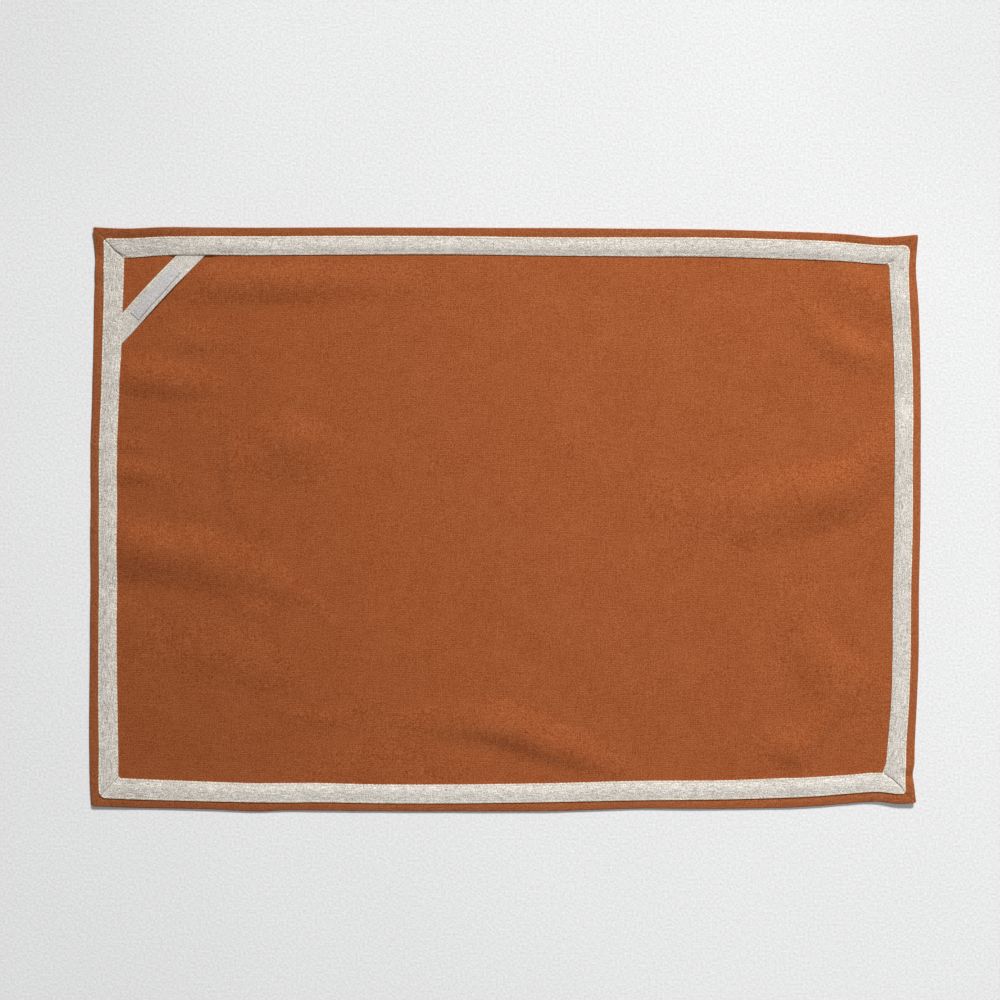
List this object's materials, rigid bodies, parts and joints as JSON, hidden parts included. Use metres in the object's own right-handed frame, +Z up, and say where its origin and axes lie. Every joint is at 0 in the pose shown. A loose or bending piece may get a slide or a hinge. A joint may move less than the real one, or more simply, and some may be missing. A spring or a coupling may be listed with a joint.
{
  "type": "placemat",
  "caption": "Rectangular cloth placemat with a turned hem, a sewn tape border with mitred corners, and a flat tape strap with a small bare label across a corner.",
  "frame": {"origin": "on the table under the middle of the mat's outline", "axes": "+X along the long side, +Y across towards the side whose left corner has the strap, +Z up from the table"},
  "size_m": [0.4985, 0.3501, 0.0069],
  "materials": {
    "rust_cloth": "matt heavy plain weave linen and cotton cloth, rust brown",
    "linen_tape": "matt unbleached linen tape with darker flecks and cream edge stitching",
    "grey_label": "smooth close woven grey ribbon, bare"
  },
  "bodies": {
    "root": {"cloth": "rust_cloth", "border_tape": "linen_tape", "corner_strap": "linen_tape", "label": "grey_label"}
  },
  "joints": []
}
